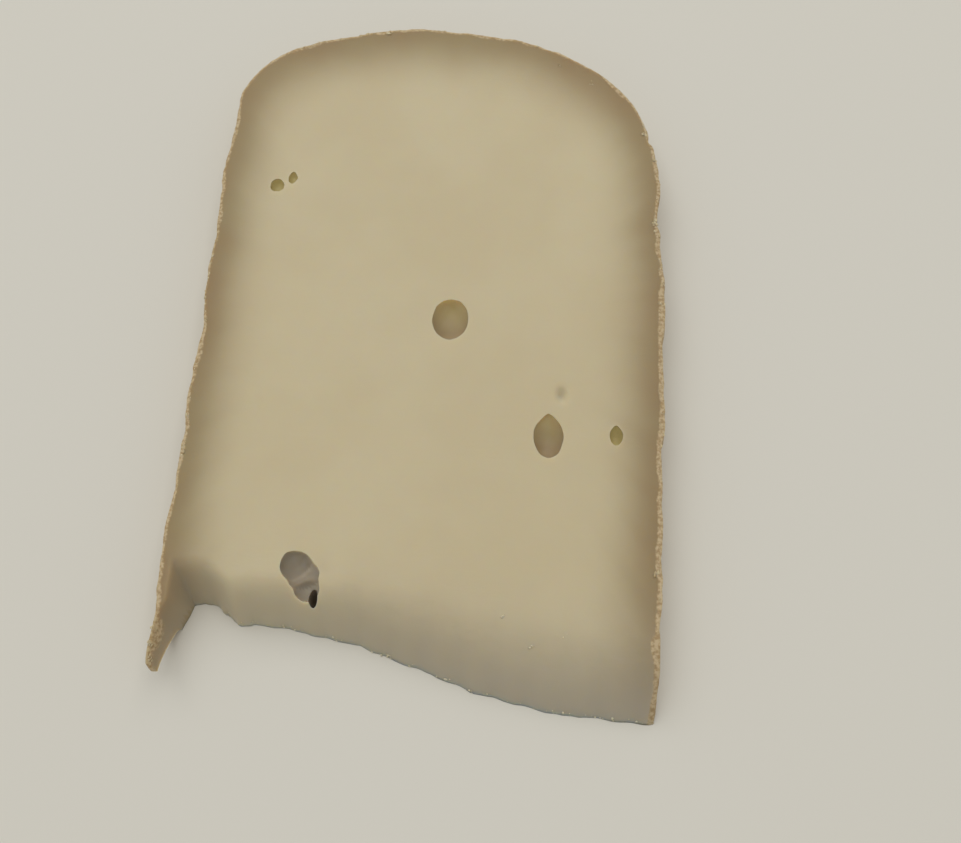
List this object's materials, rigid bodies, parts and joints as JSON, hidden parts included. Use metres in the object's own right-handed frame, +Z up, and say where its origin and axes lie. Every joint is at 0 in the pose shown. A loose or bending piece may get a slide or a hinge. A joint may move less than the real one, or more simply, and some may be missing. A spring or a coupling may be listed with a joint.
{
  "type": "slice of goat and sheep tomme cheese",
  "caption": "Flat slab of semi-hard goat and sheep cheese cut through a small wheel, with rind on both sides and the arched rim, round eyes and a broken near end.",
  "frame": {"origin": "under the middle of the slice's box, on the surface that it lies on", "axes": "+X across the slice, +Y along it towards the arched rim, +Z up out of the cut face that shows"},
  "size_m": [0.1098, 0.1762, 0.0122],
  "materials": {
    "cheese": "ivory pressed paste, moist and slightly translucent, with a rough tan rind"
  },
  "bodies": {
    "root": {"tomme_slice": "cheese"}
  },
  "joints": []
}
